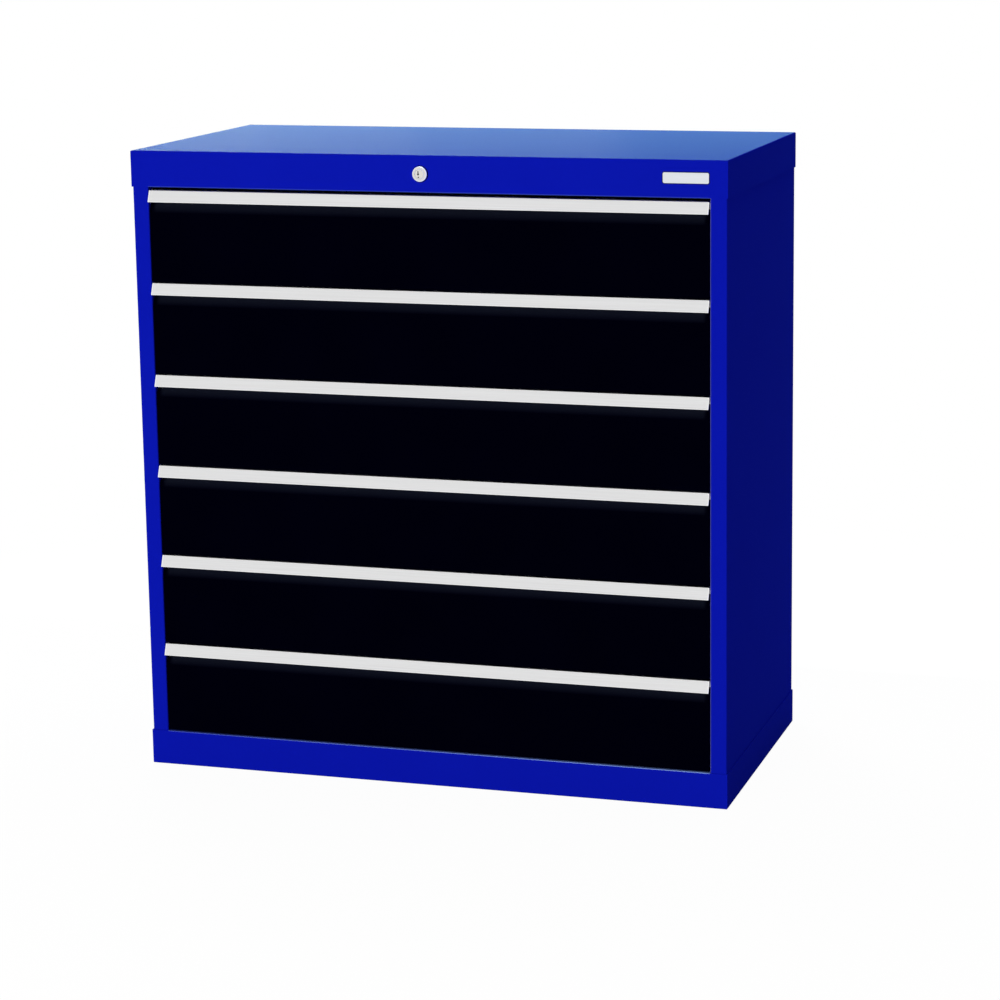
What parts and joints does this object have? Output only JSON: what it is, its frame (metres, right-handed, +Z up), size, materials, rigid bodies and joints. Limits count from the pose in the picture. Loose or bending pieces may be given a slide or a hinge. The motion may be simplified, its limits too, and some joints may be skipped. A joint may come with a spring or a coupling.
{
  "type": "drawer cabinet",
  "caption": "Steel workshop drawer cabinet with a cap and plinth, stacked full-extension drawers with sloping aluminium grip rails, and a central lock in the cap.",
  "frame": {"origin": "on the floor, under the middle of the whole outline with its handles", "axes": "+X to the right as seen from the front, +Y to the back, +Z up; the drawers open towards -Y"},
  "size_m": [0.98, 0.5052, 1.02],
  "materials": {
    "blue_powder_coat": "semi-gloss powder coat",
    "black_powder_coat": "semi-gloss powder coat",
    "grey_powder_coat": "fine-textured powder coat",
    "anodised_aluminium": "satin anodised extrusion",
    "zinc_plated_runner": "bright zinc plated",
    "zinc_plated_steel": "zinc plated sheet steel",
    "nickel_plated_lock": "satin nickel plated",
    "bare_plate": "satin, bare"
  },
  "bodies": {
    "cabinet": {"top_cover": "blue_powder_coat", "side_panel_left": "blue_powder_coat", "side_panel_right": "blue_powder_coat", "back_panel": "blue_powder_coat", "base_plinth": "blue_powder_coat", "bottom_panel": "blue_powder_coat", "uprights_left": "zinc_plated_steel", "uprights_right": "zinc_plated_steel", "name_plate": "bare_plate", "lock_case": "nickel_plated_lock", "lock_nut": "nickel_plated_lock", "bar_guides": "zinc_plated_steel", "drawer_1_outer_rails": "zinc_plated_runner", "drawer_2_outer_rails": "zinc_plated_runner", "drawer_3_outer_rails": "zinc_plated_runner", "drawer_4_outer_rails": "zinc_plated_runner", "drawer_5_outer_rails": "zinc_plated_runner", "drawer_6_outer_rails": "zinc_plated_runner"},
    "lock": {"lock_plug": "nickel_plated_lock", "lock_cam": "zinc_plated_steel", "cam_screw": "zinc_plated_steel"},
    "cross_bar": {"cross_bar": "zinc_plated_steel"},
    "latch_bar": {"latch_bar": "zinc_plated_steel", "latch_ears": "zinc_plated_steel"},
    "drawer_1": {"drawer_1_front": "black_powder_coat", "drawer_1_handle": "anodised_aluminium", "drawer_1_tray": "grey_powder_coat", "drawer_1_catch": "zinc_plated_steel", "drawer_1_inner_rails": "zinc_plated_runner"},
    "runner_1": {"drawer_1_middle_rails": "zinc_plated_runner"},
    "drawer_2": {"drawer_2_front": "black_powder_coat", "drawer_2_handle": "anodised_aluminium", "drawer_2_tray": "grey_powder_coat", "drawer_2_catch": "zinc_plated_steel", "drawer_2_inner_rails": "zinc_plated_runner"},
    "runner_2": {"drawer_2_middle_rails": "zinc_plated_runner"},
    "drawer_3": {"drawer_3_front": "black_powder_coat", "drawer_3_handle": "anodised_aluminium", "drawer_3_tray": "grey_powder_coat", "drawer_3_catch": "zinc_plated_steel", "drawer_3_inner_rails": "zinc_plated_runner"},
    "runner_3": {"drawer_3_middle_rails": "zinc_plated_runner"},
    "drawer_4": {"drawer_4_front": "black_powder_coat", "drawer_4_handle": "anodised_aluminium", "drawer_4_tray": "grey_powder_coat", "drawer_4_catch": "zinc_plated_steel", "drawer_4_inner_rails": "zinc_plated_runner"},
    "runner_4": {"drawer_4_middle_rails": "zinc_plated_runner"},
    "drawer_5": {"drawer_5_front": "black_powder_coat", "drawer_5_handle": "anodised_aluminium", "drawer_5_tray": "grey_powder_coat", "drawer_5_catch": "zinc_plated_steel", "drawer_5_inner_rails": "zinc_plated_runner"},
    "runner_5": {"drawer_5_middle_rails": "zinc_plated_runner"},
    "drawer_6": {"drawer_6_front": "black_powder_coat", "drawer_6_handle": "anodised_aluminium", "drawer_6_tray": "grey_powder_coat", "drawer_6_catch": "zinc_plated_steel", "drawer_6_inner_rails": "zinc_plated_runner"},
    "runner_6": {"drawer_6_middle_rails": "zinc_plated_runner"}
  },
  "joints": [
    {"name": "lock_turn", "type": "hinge", "parent": "cabinet", "child": "lock", "pos_m": [0, -0.24744, 0.991], "axis": [0, 1, 0], "range_deg": [0, 90]},
    {"name": "cross_bar_slide", "type": "slide", "parent": "cabinet", "child": "cross_bar", "axis": [1, 0, 0], "range_m": [0, 0.014]},
    {"name": "latch_bar_lift", "type": "slide", "parent": "cabinet", "child": "latch_bar", "axis": [0, 0, 1], "range_m": [0, 0.014]},
    {"name": "drawer_1_slide", "type": "slide", "parent": "cabinet", "child": "drawer_1", "axis": [0, -1, 0], "range_m": [0, 0.45]},
    {"name": "runner_1_slide", "type": "slide", "parent": "cabinet", "child": "runner_1", "axis": [0, -1, 0], "range_m": [0, 0.225]},
    {"name": "drawer_2_slide", "type": "slide", "parent": "cabinet", "child": "drawer_2", "axis": [0, -1, 0], "range_m": [0, 0.45]},
    {"name": "runner_2_slide", "type": "slide", "parent": "cabinet", "child": "runner_2", "axis": [0, -1, 0], "range_m": [0, 0.225]},
    {"name": "drawer_3_slide", "type": "slide", "parent": "cabinet", "child": "drawer_3", "axis": [0, -1, 0], "range_m": [0, 0.45]},
    {"name": "runner_3_slide", "type": "slide", "parent": "cabinet", "child": "runner_3", "axis": [0, -1, 0], "range_m": [0, 0.225]},
    {"name": "drawer_4_slide", "type": "slide", "parent": "cabinet", "child": "drawer_4", "axis": [0, -1, 0], "range_m": [0, 0.45]},
    {"name": "runner_4_slide", "type": "slide", "parent": "cabinet", "child": "runner_4", "axis": [0, -1, 0], "range_m": [0, 0.225]},
    {"name": "drawer_5_slide", "type": "slide", "parent": "cabinet", "child": "drawer_5", "axis": [0, -1, 0], "range_m": [0, 0.45]},
    {"name": "runner_5_slide", "type": "slide", "parent": "cabinet", "child": "runner_5", "axis": [0, -1, 0], "range_m": [0, 0.225]},
    {"name": "drawer_6_slide", "type": "slide", "parent": "cabinet", "child": "drawer_6", "axis": [0, -1, 0], "range_m": [0, 0.45]},
    {"name": "runner_6_slide", "type": "slide", "parent": "cabinet", "child": "runner_6", "axis": [0, -1, 0], "range_m": [0, 0.225]}
  ],
  "couplings": [
    {"joint": "lock_turn", "follows": "latch_bar_lift", "rad_per_m": 112.2},
    {"joint": "cross_bar_slide", "follows": "latch_bar_lift", "ratio": 1},
    {"joint": "runner_1_slide", "follows": "drawer_1_slide", "ratio": 0.5},
    {"joint": "runner_2_slide", "follows": "drawer_2_slide", "ratio": 0.5},
    {"joint": "runner_3_slide", "follows": "drawer_3_slide", "ratio": 0.5},
    {"joint": "runner_4_slide", "follows": "drawer_4_slide", "ratio": 0.5},
    {"joint": "runner_5_slide", "follows": "drawer_5_slide", "ratio": 0.5},
    {"joint": "runner_6_slide", "follows": "drawer_6_slide", "ratio": 0.5}
  ]
}
